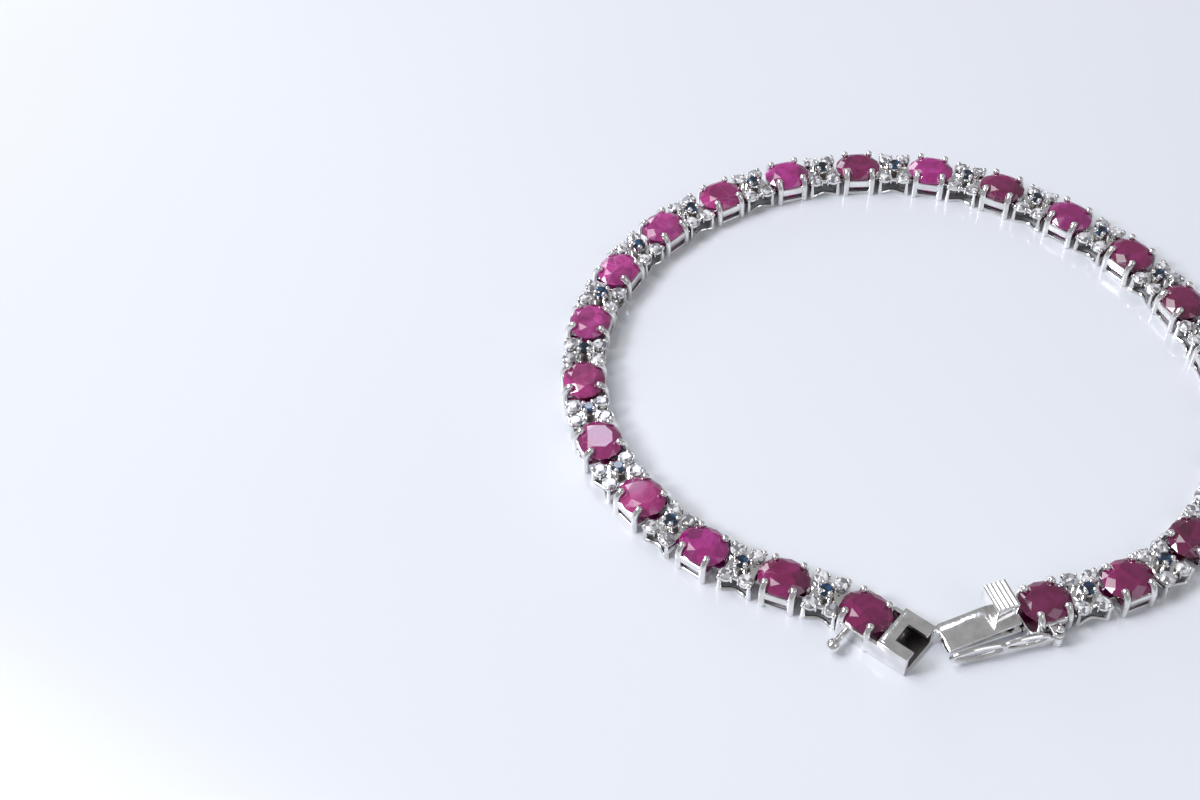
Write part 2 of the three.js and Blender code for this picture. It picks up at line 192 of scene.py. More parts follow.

# %% [markdown]
# Inside the box, under the deck of a small-stone link and under the small cups, a rough, dark grey
# silver is laid where shade falls. Its darkness is painted shade.

# %% Painted shade: dark grey silver
def painted_shade_silver():
    material, shader, place = new_material("painted_shade_silver", Metallic=1.0, Roughness=0.42)
    skin = add_node(material, "ShaderNodeTexNoise", Vector=place, Scale=per_mm(0.5), Detail=4.0)
    tone = add_node(
        material,
        "ShaderNodeMixRGB",
        Fac=skin.outputs["Fac"],
        Color1=colour("#4c4746"),
        Color2=colour("#7b7674"),
    )
    material.node_tree.links.new(tone.outputs["Color"], shader.inputs["Base Color"])
    return material


shade_silver = painted_shade_silver()
print(shade_silver.name)

# %% [markdown]
# The red stones are rubies of a modest grade: purplish raspberry, and cloudy with fine silk and healed
# cracks, so light goes in and spreads instead of passing straight through. Corundum has an IOR of 1.77
# and takes a glassy polish. The cut throws light back in patches, and a cell pattern paints these into
# the colour, each a little lighter or darker than the next: painted reflection. Every stone is a little
# different, so five grades share one recipe.

# %% Ruby
RUBY_GRADES = {
    "pink": ("#ae2e82", "#c24a9a"),
    "rose": ("#a0206c", "#b83a88"),
    "plum": ("#941a6c", "#aa3086"),
    "raspberry": ("#740b48", "#8a1d60"),
    "deep": ("#62083a", "#781a50"),
}


def silky_ruby(grade):
    dark, light = RUBY_GRADES[grade]
    material, shader, place = new_material(
        "silky_ruby_" + grade, IOR=1.77, Transmission_Weight=0.06
    )
    silk = add_node(
        material, "ShaderNodeTexNoise", Vector=place, Scale=per_mm(1.8), Detail=6.0, Distortion=1.2
    )
    share = add_node(
        material, "ShaderNodeMapRange", Value=silk.outputs["Fac"], From_Min=0.38, From_Max=0.64
    )
    body = add_node(
        material,
        "ShaderNodeMixRGB",
        Fac=share.outputs["Result"],
        Color1=colour(dark),
        Color2=colour(light),
    )
    # Painted reflection: each cell, about a facet wide, makes the colour lighter or darker.
    facets = add_node(material, "ShaderNodeTexVoronoi", Vector=place, Scale=per_mm(2.3))
    flash = add_node(
        material,
        "ShaderNodeMapRange",
        Value=facets.outputs["Color"],
        From_Min=0.25,
        From_Max=0.75,
        To_Min=0.6,
        To_Max=1.1,
    )
    stone_with_painted_flash = add_node(
        material,
        "ShaderNodeMixRGB",
        {"blend_type": "MULTIPLY"},
        Fac=1.0,
        Color1=body.outputs["Color"],
        Color2=flash.outputs["Result"],
    )
    cracks = add_node(
        material,
        "ShaderNodeTexVoronoi",
        {"feature": "DISTANCE_TO_EDGE"},
        Vector=place,
        Scale=per_mm(3.1),
    )
    rare = add_node(material, "ShaderNodeTexNoise", Vector=place, Scale=per_mm(7), Detail=1.0)
    healing = add_node(
        material,
        "ShaderNodeMapRange",
        Value=rare.outputs["Fac"],
        From_Min=0.52,
        From_Max=0.62,
        To_Max=0.35,
    )
    vein = add_node(
        material,
        "ShaderNodeMapRange",
        Value=cracks.outputs["Distance"],
        From_Max=0.014,
        To_Min=healing.outputs["Result"],
        To_Max=0.0,
    )
    healed = add_node(
        material,
        "ShaderNodeMixRGB",
        Fac=vein.outputs["Result"],
        Color1=stone_with_painted_flash.outputs["Color"],
        Color2=colour("#d79cc4"),
    )
    polish = add_node(
        material, "ShaderNodeMapRange", Value=silk.outputs["Fac"], To_Min=0.03, To_Max=0.12
    )
    links = material.node_tree.links
    links.new(healed.outputs["Color"], shader.inputs["Base Color"])
    links.new(polish.outputs["Result"], shader.inputs["Roughness"])
    return material


rubies = {grade: silky_ruby(grade) for grade in RUBY_GRADES}
print("ruby grades", list(rubies))

# %% [markdown]
# The small white stones are cubic zirconia, round brilliants with an IOR of 2.17. Seen this small they
# are a glitter of white, grey and faint lilac, one tone for each facet that looks back out. A cell
# pattern with cells as wide as those facets draws that glitter. The blue stones are dark sapphires.

# %% White and blue stones
def glitter_stone(name, tones, cell, ior, clear):
    material, shader, place = new_material(
        name, IOR=ior, Roughness=0.03, Transmission_Weight=clear
    )
    facets = add_node(material, "ShaderNodeTexVoronoi", Vector=place, Scale=per_mm(cell))
    ramp = add_node(material, "ShaderNodeValToRGB", Fac=facets.outputs["Color"])
    ramp.color_ramp.interpolation = "CONSTANT"
    ramp.color_ramp.elements[0].color = colour(tones[0])
    ramp.color_ramp.elements[1].position = 0.7
    ramp.color_ramp.elements[1].color = colour(tones[-1])
    for i, tone in enumerate(tones[1:-1]):
        step = ramp.color_ramp.elements.new(0.36 + 0.34 * i / (len(tones) - 2))
        step.color = colour(tone)
    material.node_tree.links.new(ramp.outputs["Color"], shader.inputs["Base Color"])
    return material


zirconia = glitter_stone(
    "cubic_zirconia", ["#7c7b82", "#b6b6bb", "#e2e2e6", "#ffffff"], 0.36, 2.17, 0.1
)
sapphire = glitter_stone(
    "dark_sapphire", ["#040c18", "#081b30", "#0f3050", "#184a74"], 0.45, 1.77, 0.1
)
print(zirconia.name, sapphire.name)

# %% [markdown]
# Solid shapes come from a few makers' moves: a bar with rounded edges, a turned piece, a wire swept
# along a path, and a plate cut from an outline. Each is a closed shell in its own temporary object.
# Soldering them is a boolean union with the Manifold solver, which is quick and keeps materials.

# %% Bars and turned pieces
def shell(build, material, smooth=True):
    """A temporary object made by build(bmesh), closed and facing out."""
    shape = bmesh.new()
    build(shape)
    bmesh.ops.remove_doubles(shape, verts=shape.verts, dist=1e-5)
    bmesh.ops.recalc_face_normals(shape, faces=shape.faces)
    mesh = bpy.data.meshes.new("shell")
    shape.to_mesh(mesh)
    shape.free()
    mesh.materials.append(material)
    for face in mesh.polygons:
        face.use_smooth = smooth
    piece = bpy.data.objects.new("shell", mesh)
    bpy.context.scene.collection.objects.link(piece)
    return piece


def bar(low, high, edge=EDGE, material=silver):
    """A block between two corners, with rounded edges."""

    def build(shape):
        bmesh.ops.create_cube(shape, size=1)
        size = Vector(high) - Vector(low)
        middle = (Vector(high) + Vector(low)) / 2
        for corner in shape.verts:
            corner.co = Vector(a * b for a, b in zip(corner.co, size)) + middle
        bmesh.ops.bevel(
            shape, geom=shape.edges[:], offset=edge, segments=2, profile=0.5, affect="EDGES"
        )

    return shell(build, material)


def turned(profile, sides=20, place=None, material=silver, smooth=True):
    """A piece turned about Z. The profile is radius and height, from low to high."""

    def build(shape):
        rings = []
        for radius, height in profile:
            if radius == 0:
                rings.append([shape.verts.new((0, 0, height))])
                continue
            turns = [2 * math.pi * i / sides for i in range(sides)]
            rings.append(
                [shape.verts.new((radius * math.cos(t), radius * math.sin(t), height)) for t in turns]
            )
        bridge(shape, rings)
        bmesh.ops.transform(shape, matrix=place or Matrix.Identity(4), verts=shape.verts)

    return shell(build, material, smooth)


def bridge(shape, rings):
    """Faces between neighbouring rings of corners. A ring of one corner closes an end."""
    for first, second in zip(rings, rings[1:]):
        count = max(len(first), len(second))
        for i in range(count):
            j = (i + 1) % count
            corners = [first[i % len(first)], first[j % len(first)]]
            corners += [second[j % len(second)], second[i % len(second)]]
            shape.faces.new(list(dict.fromkeys(corners)))


def ball_rings(radius, turns=(-60, -30, 0, 30, 60)):
    """Pairs of offset and radius for the rings of a ball."""
    return [
        (radius * math.sin(math.radians(t)), radius * math.cos(math.radians(t))) for t in turns
    ]


# %% Wires and plates
def direction(points, i, closed):
    """The way that a path runs at its point i, past points that lie on each other."""
    if closed:
        return (points[(i + 1) % len(points)] - points[i - 1]).normalized()
    before = next((p for p in points[i::-1] if (p - points[i]).length > 1e-6), points[i])
    after = next((p for p in points[i:] if (p - points[i]).length > 1e-6), points[i])
    return (after - before).normalized()


def swept(path, closed=False, sides=12, material=silver):
    """A round wire through (point, radius) pairs. An open wire ends in its first and last point."""

    def build(shape):
        points = [Vector(point) for point, radius in path]
        side = None
        rings = []
        for i, (point, (_, radius)) in enumerate(zip(points, path)):
            along = direction(points, i, closed)
            if side is None:
                side = along.orthogonal().normalized()
            side = (side - along * side.dot(along)).normalized()
            across = along.cross(side)
            if radius == 0:
                rings.append([shape.verts.new(point)])
                continue
            ring = []
            for k in range(sides):
                turn = 2 * math.pi * k / sides
                offset = side * math.cos(turn) + across * math.sin(turn)
                ring.append(shape.verts.new(point + radius * offset))
            rings.append(ring)
        if closed:
            rings.append(rings[0])
        bridge(shape, rings)

    return shell(build, material)


def plate(outline, low, high, edge=EDGE, tilt=None, material=silver):
    """A flat outline raised from low to high, with its rims rounded, then tilted into place."""

    def build(shape):
        face = shape.faces.new([shape.verts.new((x, y, low)) for x, y in outline])
        raised = bmesh.ops.extrude_face_region(shape, geom=[face])
        lifted = [g for g in raised["geom"] if isinstance(g, bmesh.types.BMVert)]
        bmesh.ops.translate(shape, vec=(0, 0, high - low), verts=lifted)
        bmesh.ops.recalc_face_normals(shape, faces=shape.faces)
        rims = [e for e in shape.edges if abs(e.verts[0].co.z - e.verts[1].co.z) < 1e-6]
        if edge:
            bmesh.ops.bevel(shape, geom=rims, offset=edge, segments=2, profile=0.5, affect="EDGES")
        bmesh.ops.transform(shape, matrix=tilt or Matrix.Identity(4), verts=shape.verts)

    return shell(build, material)


# %% Solder and cut
SHARP = math.radians(32)


def plain_mesh(piece, name):
    """The piece with its modifiers applied, as a mesh of its own."""
    graph = bpy.context.evaluated_depsgraph_get()
    mesh = bpy.data.meshes.new_from_object(piece.evaluated_get(graph), depsgraph=graph)
    mesh.name = name
    return mesh


def boolean(first, others, operation):
    """first joined with the others, or cut by them, as one closed body."""
    group = bpy.data.collections.new("parts")
    for other in others:
        group.objects.link(other)
    step = first.modifiers.new("join", "BOOLEAN")
    step.operation = operation
    step.operand_type = "COLLECTION"
    step.collection = group
    step.solver = "MANIFOLD"
    step.material_mode = "TRANSFER"
    mesh = plain_mesh(first, "joined")
    first.modifiers.remove(step)
    first.data = mesh
    for other in others:
        bpy.data.objects.remove(other)
    bpy.data.collections.remove(group)
    return first


def solder(shells):
    return boolean(shells[0], shells[1:], "UNION")


def cut(piece, tools):
    return boolean(piece, tools, "DIFFERENCE")


def finish_piece(piece, name, place, body, replaced):
    """The piece put in its place in metres, as the visible form of a CAD node."""
    mesh = piece.data
    piece.name = name
    mesh.name = name
    mesh.transform(place @ Matrix.Scale(MM, 4))
    mesh.set_sharp_from_angle(angle=SHARP)
    metals = [index for index, metal in enumerate(mesh.materials) if metal in (silver, shade_silver)]
    for face in mesh.polygons:
        face.use_smooth = face.material_index in metals  # the cut facets of a stone stay flat
    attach(piece, body)
    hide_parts(replaced)
    print(name, len(piece.data.polygons), "faces")


# %% [markdown]
# Every place comes from the frame. A red stone's table is an oval, and the spread of its corners gives
# its middle and its long axis. Links turn where their ends meet, so a link between two stones runs from
# the end of one setting to the start of the next.

# %% Places along the chain
RUBY_COUNT = len([n for n in nodes if n.startswith("ruby_")])


def table_of(number):
    """The middle of a red stone's table, and the direction of its long axis."""
    mesh = nodes[f"ruby_{number:02d}"].data
    top = max(v.co.z for v in mesh.vertices)
    corners = {(round(v.co.x, 6), round(v.co.y, 6)) for v in mesh.vertices if top - v.co.z < MM / 100}
    corners = [Vector(c) for c in corners]
    middle = sum(corners, Vector((0, 0))) / len(corners)
    spread = [c - middle for c in corners]
    xx, yy, xy = (sum(a * b for a, b in pairs) for pairs in (
        [(s.x, s.x) for s in spread],
        [(s.y, s.y) for s in spread],
        [(s.x, s.y) for s in spread],
    ))
    turn = math.atan2(2 * xy, xx - yy) / 2
    return middle, Vector((math.cos(turn), math.sin(turn)))


def place_at(middle, along):
    turn = math.atan2(along.y, along.x)
    return Matrix.Translation((middle.x, middle.y, 0)) @ Matrix.Rotation(turn, 4, "Z")


tables = [table_of(i + 1) for i in range(RUBY_COUNT)]
middles = [middle for middle, axis in tables]
alongs = []
for i, (middle, axis) in enumerate(tables):
    ahead = middles[min(i + 1, RUBY_COUNT - 1)] - middles[max(i - 1, 0)]
    alongs.append(axis if axis.dot(ahead) > 0 else -axis)

half_pitch = LINK_PITCH / 2 * MM
ruby_places = [place_at(m, a) for m, a in zip(middles, alongs)]
cluster_places = []
for i in range(RUBY_COUNT - 1):
    start = middles[i] + alongs[i] * half_pitch
    end = middles[i + 1] - alongs[i + 1] * half_pitch
    cluster_places.append(place_at((start + end) / 2, end - start))
box_place = ruby_places[0] @ Matrix.Rotation(math.pi, 4, "Z")
tongue_place = ruby_places[-1]
print(len(ruby_places), "stone places,", len(cluster_places), "links between")

# %% [markdown]
# A brilliant is cut in rings: a flat table, eight stars and eight kites round it, sixteen small facets
# down to the widest line, then the long facets of the pavilion. If each ring's height is worked out so
# that the kites are flat, the same pattern squeezed to an oval stays flat too. The hull of the rings'
# corners gives exactly these facets.

# %% Brilliant cut
TABLE_SHARE = 0.6
STAR_RING = 0.82
KEEL_RING = 0.3


def brilliant(length, width, girdle, crown, pavilion, band, material, middle=(0, 0), belly=None):
    """A faceted stone with its widest line at girdle, and a table above and a point below it."""
    half_turn = math.pi / 8

    def ring(radius, height, start, count, wide=1.0):
        step = 2 * math.pi / count
        return [
            (radius * math.cos(start + step * i), wide * radius * math.sin(start + step * i), height)
            for i in range(count)
        ]

    star_depth = (STAR_RING * math.cos(half_turn) - TABLE_SHARE) / (1 - TABLE_SHARE) * crown
    keel_depth = (1 - KEEL_RING * math.cos(half_turn)) * pavilion
    corners = ring(TABLE_SHARE, girdle + crown, 0, 8)
    corners += ring(STAR_RING, girdle + crown - star_depth, half_turn, 8)
    corners += ring(1, girdle + band / 2, 0, 16) + ring(1, girdle - band / 2, 0, 16)
    if belly:
        for radius, wide, height in belly:
            corners += ring(radius, height, half_turn, 8, wide)
    else:
        corners += ring(KEEL_RING, girdle - keel_depth, half_turn, 8)
        corners += ring(1e-3, girdle - pavilion, 0, 8)

    def build(shape):
        for x, y, z in corners:
            shape.verts.new((x * length / 2 + middle[0], y * width / 2 + middle[1], z))
        bmesh.ops.convex_hull(shape, input=shape.verts)
        bmesh.ops.dissolve_limit(
            shape, angle_limit=math.radians(0.5), verts=shape.verts, edges=shape.edges
        )

    return shell(build, material, smooth=False)


# %% The red stones
GRADE_ORDER = (
    "raspberry raspberry plum rose rose rose pink pink pink rose plum raspberry "
    "plum raspberry plum raspberry deep plum raspberry plum deep raspberry raspberry"
).split()

# Cut deep to save weight: rings of share of the length, width over length, and height
BELLY = ((0.66, 1.5, 1.25), (0.5, 1.8, 0.45), (0.46, 1.88, 0.3))

for number, grade in enumerate(GRADE_ORDER, start=1):
    stone = brilliant(
        RUBY_LENGTH,
        RUBY_WIDTH,
        GIRDLE,
        TABLE - GIRDLE,
        GIRDLE - CULET,
        0.06,
        rubies[grade],
        belly=BELLY,
    )
    body = body_of(nodes[f"ruby_{number:02d}"])[0]
    finish_piece(
        stone, f"red_stone_{number:02d}", ruby_places[number - 1], body, f"ruby_{number:02d}"
    )

# %% [markdown]
# A red stone's setting is an open basket. Four round posts stand at its corners from the table up, bend
# in over the stone and end in polished beads. A thin rail joins them at the foot and a wide one under
# the stone's edge, so each long side shows a dark window.

# %% A claw and a setting
BEAD = 0.36
BEAD_Y = 1.42
CLAW_START = 1.4  # height where a post begins to bend
CLAW_BEND = 2.25
CLAW_TIP = 2.64
CLAW_LEAN = 0.04  # how far a claw's tip leans along the stone
FOOT_TOP = 0.34
FOOT_WALL = 0.24
BAND_LOW = 0.98  # low edge of the wide rail
KNUCKLE = ((1.3, -0.6, 0.37), (2.5, 0.6, 0.97))  # the bar that joins two links, corner to corner


def claw(side_x, side_y):
    foot = (POST_X, POST_Y)
    path = [((*foot, 0), 0), ((*foot, 0), POST - EDGE), ((*foot, EDGE), POST)]
    start = Vector((*foot, CLAW_START))
    bend = Vector((*foot, CLAW_BEND))
    tip = Vector((POST_X - CLAW_LEAN, BEAD_Y, CLAW_TIP))
    for i in range(7):
        t = i / 6
        path.append(((1 - t) ** 2 * start + 2 * t * (1 - t) * bend + t**2 * tip, POST - 0.01))
    lean = (tip - bend).normalized()
    path += [(tip + lean * offset, radius) for offset, radius in ball_rings(BEAD, (-15, 10, 35, 60))]
    path.append((tip + lean * BEAD, 0))
    return swept([((x * side_x, y * side_y, z), radius) for (x, y, z), radius in map(flat, path)])


def flat(pair):
    point, radius = pair
    return tuple(point), radius


def four_claws():
    return [claw(x, y) for x in (-1, 1) for y in (-1, 1)]


def side_rails(low, high, thick=WALL):
    middle = RUBY_OUT - thick / 2
    half = thick / 2
    return [
        bar((-POST_X, side * middle - half, low), (POST_X, side * middle + half, high), 0.12)
        for side in (-1, 1)
    ]


def end_walls(top):
    half = WALL / 2
    return [
        bar((x - half, -RUBY_OUT, 0), (x + half, RUBY_OUT, top)) for x in (-POST_X, POST_X)
    ]


def ruby_setting():
    return (
        four_claws()
        + side_rails(0, FOOT_TOP, FOOT_WALL)
        + side_rails(BAND_LOW, RAIL_TOP)
        + end_walls(END_TOP)
    )


ruby_link = solder(ruby_setting() + [bar(*KNUCKLE)])
print("setting", len(ruby_link.data.polygons), "faces")

# %% [markdown]
# The link between two stones holds four small white stones near its corners and a blue one raised in
# the middle. Each sits in a turned cup and is held by tiny beads. Its foot is a thin rail that dips
# in towards the waist, and there is only air between that rail and the cups.

# %% A link of small stones
WHITE = 1.36
BLUE = 1.4
WHITE_X = 0.94
WHITE_Y = 1.42
WAIST = 0.45
FOOT = 0.18
CORNER = 0.29  # radius of the posts at the link's corners
CORNER_TOP = 1.9
DECK = (1.26, 1.6)
UNDER_DECK = (1.14, 1.3)
LAP = 0.02  # how far one soldered piece reaches into the next
CUP_SIDES = 16
# Foot and rim of a cup, and the height of its stone's crown
WHITE_CUP = (1.0, 1.94)
WHITE_CROWN = 0.22
BLUE_CUP = (1.2, 2.4)
BLUE_CROWN = 0.36
# Foot, top, radius of the bead and radius of its wire
WHITE_BEAD = (1.4, 2.04, 0.14, 0.1)
BLUE_BEAD = (1.4, 2.66, 0.28, 0.2)


def small_setting(x, y, stone, foot, rim, material, crown):
    """A turned cup with its stone. The cup's rim stands a little under the stone's widest line."""
    radius = stone / 2
    wide = radius + 0.05
    place = Matrix.Translation((x, y, 0))
    collar_low = rim - 0.25
    lap_low = collar_low - LAP
    cup_profile = [(0, foot), (radius * 0.72, foot), (wide, collar_low), (0, collar_low)]
    # The cup under its collar is dark grey silver: painted shade under the stone.
    cup = turned(cup_profile, CUP_SIDES, place, shade_silver)
    collar = turned([(0, lap_low), (wide, lap_low), (wide, rim), (0, rim)], CUP_SIDES, place)
    return [cup, collar, brilliant(stone, stone, rim + 0.05, crown, 0.4, 0.04, material, (x, y))]


def bead_wire(x, y, foot, top, radius, thin):
    """A short straight wire with a bead on its tip."""
    path = [((x, y, foot), 0), ((x, y, foot), thin)]
    for offset, ring in ball_rings(radius):
        path.append(((x, y, top + offset), ring))
    path.append(((x, y, top + radius), 0))
    return swept(path, sides=8)


def waist_side(side):
    """The foot rail on one side, drawn in towards its middle."""
    path = []
    reach = LINK_HALF - FOOT
    for i in range(9):
        x = -reach + 2 * reach * i / 8
        dip = WAIST * math.cos(math.pi / 2 * x / reach) ** 2
        path.append(((x, side * (OUTER_HALF - FOOT - dip), FOOT), FOOT))
    first, last = path[0][0], path[-1][0]
    return swept([(first, 0)] + path + [(last, 0)], sides=10)


def cluster_parts():
    corner_x = LINK_HALF - CORNER
    corner_y = OUTER_HALF - CORNER
    parts = [
        bar((x - 0.2, -corner_y, 0), (x + 0.2, corner_y, 1.15), 0.1) for x in (-corner_x, corner_x)
    ]
    parts += [waist_side(side) for side in (-1, 1)]
    deck = [(-1.5, -1.6), (-0.5, -1.45), (0.5, -1.45), (1.5, -1.6)]
    deck += [(-x, -y) for x, y in deck]
    parts.append(plate(deck, *DECK))
    # A dark grey sheet under the deck: painted shade.
    parts.append(plate(deck, *UNDER_DECK, 0.03, material=shade_silver))
    for x in (-1, 1):
        for y in (-1, 1):
            middle = (x * WHITE_X, y * WHITE_Y)
            parts += small_setting(*middle, WHITE, *WHITE_CUP, zirconia, WHITE_CROWN)
            parts.append(bead_wire(x * corner_x, y * corner_y, 0, CORNER_TOP, CORNER + LAP, CORNER))
            for turn in (150, 270):
                angle = math.radians(turn)
                out = WHITE / 2 + 0.04
                bead_x = x * (WHITE_X + out * math.cos(angle))
                bead_y = y * (WHITE_Y + out * math.sin(angle))
                parts.append(bead_wire(bead_x, bead_y, *WHITE_BEAD))
    parts += small_setting(0, 0, BLUE, *BLUE_CUP, sapphire, BLUE_CROWN)
    for turn in (45, 135, 225, 315):
        angle = math.radians(turn)
        out = BLUE / 2 - 0.06
        parts.append(bead_wire(out * math.cos(angle), out * math.sin(angle), *BLUE_BEAD))
    return parts


cluster_link = solder(cluster_parts() + [bar(*KNUCKLE)])
print("cluster", len(cluster_link.data.polygons), "faces")

# %% [markdown]
# The chain repeats two links along a path, which is work for Geometry Nodes. A tiny mesh holds one point
# for each link with its turn as an attribute. The tree puts a link on each point, and it ends in Realize
# Instances and Set Material. Settings and clusters are laid in two passes, then soldered at their
# knuckles, so that each half of the chain is one fused body.

# %% Geometry Nodes: links on points
def link_tree():
    tree = bpy.data.node_groups.new("links_on_points", "GeometryNodeTree")
    tree.interface.new_socket("Points", in_out="INPUT", socket_type="NodeSocketGeometry")
    tree.interface.new_socket("Link", in_out="INPUT", socket_type="NodeSocketObject")
    tree.interface.new_socket("Size", in_out="INPUT", socket_type="NodeSocketFloat")
    tree.interface.new_socket("Metal", in_out="INPUT", socket_type="NodeSocketMaterial")
    tree.interface.new_socket("Chain", in_out="OUTPUT", socket_type="NodeSocketGeometry")
    make = tree.nodes.new
    given = make("NodeGroupInput")
    link = make("GeometryNodeObjectInfo")
    turn = make("GeometryNodeInputNamedAttribute")
    turn.inputs["Name"].default_value = "turn"
    upright = make("ShaderNodeCombineXYZ")
    lay = make("GeometryNodeInstanceOnPoints")
    real = make("GeometryNodeRealizeInstances")
    slot = make("GeometryNodeInputMaterialIndex")
    first = make("FunctionNodeCompare")
    first.data_type = "INT"
    first.operation = "EQUAL"
    paint = make("GeometryNodeSetMaterial")
    result = make("NodeGroupOutput")
    whole = [s for s in first.inputs if s.type == "INT"]
    for start, end in (
        (given.outputs["Link"], link.inputs["Object"]),
        (turn.outputs["Attribute"], upright.inputs["Z"]),
        (given.outputs["Points"], lay.inputs["Points"]),
        (link.outputs["Geometry"], lay.inputs["Instance"]),
        (upright.outputs["Vector"], lay.inputs["Rotation"]),
        (given.outputs["Size"], lay.inputs["Scale"]),
        (lay.outputs["Instances"], real.inputs["Geometry"]),
        (real.outputs["Geometry"], paint.inputs["Geometry"]),
        (slot.outputs["Material Index"], whole[0]),
        (first.outputs["Result"], paint.inputs["Selection"]),
        (given.outputs["Metal"], paint.inputs["Material"]),
        (paint.outputs["Geometry"], result.inputs["Chain"]),
    ):
        tree.links.new(start, end)
    return tree


links_on_points = link_tree()


def socket_id(tree, name):
    """The identifier by which a modifier knows the tree's input of that name."""
    return next(item.identifier for item in tree.interface.items_tree if item.name == name)


def laid_links(link, places):
    """Copies of a link at the places, in millimetres, as one object."""
    points = bpy.data.meshes.new("points")
    points.from_pydata([place.translation / MM for place in places], [], [])
    turns = points.attributes.new("turn", "FLOAT", "POINT")
    turns.data.foreach_set("value", [place.to_euler().z for place in places])
    row = bpy.data.objects.new("row", points)
    bpy.context.scene.collection.objects.link(row)
    step = row.modifiers.new("links", "NODES")
    step.node_group = links_on_points
    step[socket_id(links_on_points, "Link")] = link
    step[socket_id(links_on_points, "Size")] = 1.0
    step[socket_id(links_on_points, "Metal")] = silver
    mesh = plain_mesh(row, "row")
    row.modifiers.remove(step)
    row.data = mesh
    return row


# %% The two halves of the chain
HALFWAY = RUBY_COUNT // 2  # the left half ends with the cluster that follows this stone

first_knuckle = bar(*KNUCKLE)
first_knuckle.data.transform(
    Matrix.Scale(1 / MM, 4) @ cluster_places[0] @ Matrix.Rotation(math.pi, 4, "Z") @ Matrix.Scale(MM, 4)
)
left = solder([
    first_knuckle,
    laid_links(cluster_link, cluster_places[:HALFWAY]),
    laid_links(ruby_link, ruby_places[1:HALFWAY]),
])
right = solder([
    laid_links(cluster_link, cluster_places[HALFWAY:]),
    laid_links(ruby_link, ruby_places[HALFWAY:-1]),
])
finish_piece(left, "stone_chain_left", Matrix.Identity(4), "bracelet", "setting_chain_left")
finish_piece(right, "stone_chain_right", Matrix.Identity(4), "bracelet", "setting_chain_right")

# %% [markdown]
# The box clasp is folded from sheet: a floor, two solid side walls and a top plate with a notch at the
# mouth, where the thumb push drops in. Its rear is open for the first red stone. A ball stud on its
# outer side takes the wire catch. Here X runs to the mouth, and the outer side is -Y.

# %% Box clasp
BOX_REACH = 5.5
BOX_TOP = 2.5
BOX_PLATE = 0.35
BOX_FRONT = 2.5
NOTCH_START = BOX_REACH - 1.9
NOTCH = (-1.1, 0.9)
FACE_LOW = 1.7  # low edge of the wall that closes the box towards the stone
FACE = 0.3
SHADE_INSET = 0.1  # the dark lining, painted shade, stops this far inside the box's edges
SHADE_LIFT = 0.03  # and stands this far proud of its walls
STUD_X = -0.6
STUD_Z = 1.0
STUD_REACH = 1.8
STUD_ROOT = -0.2
STUD_NECK = 0.3
STUD_BALL = 0.62
NECK_LAP = 0.55


def box_clasp_parts():
    parts = four_claws()
    parts.append(bar((-END_OUTER, -OUTER_HALF, 0), (BOX_REACH, OUTER_HALF, BOX_PLATE)))
    parts.append(bar((-END_OUTER, -OUTER_HALF, 0), (-END_INNER, OUTER_HALF, END_TOP)))
    for inner, outer in ((INNER_HALF, OUTER_HALF), (-OUTER_HALF, -INNER_HALF)):
        parts.append(bar((-END_OUTER, inner, 0), (BOX_REACH, outer, RAIL_TOP)))
        parts.append(bar((BOX_FRONT, inner, 0), (BOX_REACH, outer, BOX_TOP)))
    under = BOX_TOP - BOX_PLATE
    parts.append(bar((BOX_FRONT, -OUTER_HALF, under), (NOTCH_START, OUTER_HALF, BOX_TOP)))
    parts.append(bar((BOX_FRONT, -OUTER_HALF, FACE_LOW), (BOX_FRONT + FACE, OUTER_HALF, BOX_TOP)))
    parts.append(bar((BOX_FRONT, -OUTER_HALF, under), (BOX_REACH, NOTCH[0], BOX_TOP)))
    parts.append(bar((BOX_FRONT, NOTCH[1], under), (BOX_REACH, OUTER_HALF, BOX_TOP)))
    start = BOX_FRONT + SHADE_INSET
    end = BOX_REACH - SHADE_INSET
    # Dark grey sheets inside the side walls and on the floor: painted shade.
    for low_y, high_y, top in (
        (-INNER_HALF - SHADE_INSET, -INNER_HALF + SHADE_LIFT, under),
        (INNER_HALF - SHADE_LIFT, INNER_HALF + SHADE_INSET, under),
        (-INNER_HALF, INNER_HALF, BOX_PLATE + SHADE_LIFT),
    ):
        parts.append(bar((start, low_y, SHADE_INSET), (end, high_y, top), 0.01, shade_silver))
    stud = [(0, STUD_ROOT), (STUD_NECK, STUD_ROOT), (STUD_NECK, STUD_REACH - NECK_LAP)]
    ball = ball_rings(STUD_BALL, (-58, -30, 0, 30, 60))
    stud += [(radius, STUD_REACH + offset) for offset, radius in ball]
    stud.append((0, STUD_REACH + STUD_BALL))
    side = Matrix.Translation((STUD_X, -OUTER_HALF, STUD_Z)) @ Matrix.Rotation(math.pi / 2, 4, "X")
    parts.append(turned(stud, 20, side))
    return parts


clasp = solder(box_clasp_parts())
finish_piece(clasp, "box_clasp", box_place, "bracelet", "clasp_box")

# %% [markdown]
# The last link carries the tongue and the catch. It is the red stone's setting with a solid nose in
# front, into which the tongue's lower leaf is let, and two round ears on its outer side, bored for the
# catch's pin. Here X runs to the tongue, and the outer side is +Y.

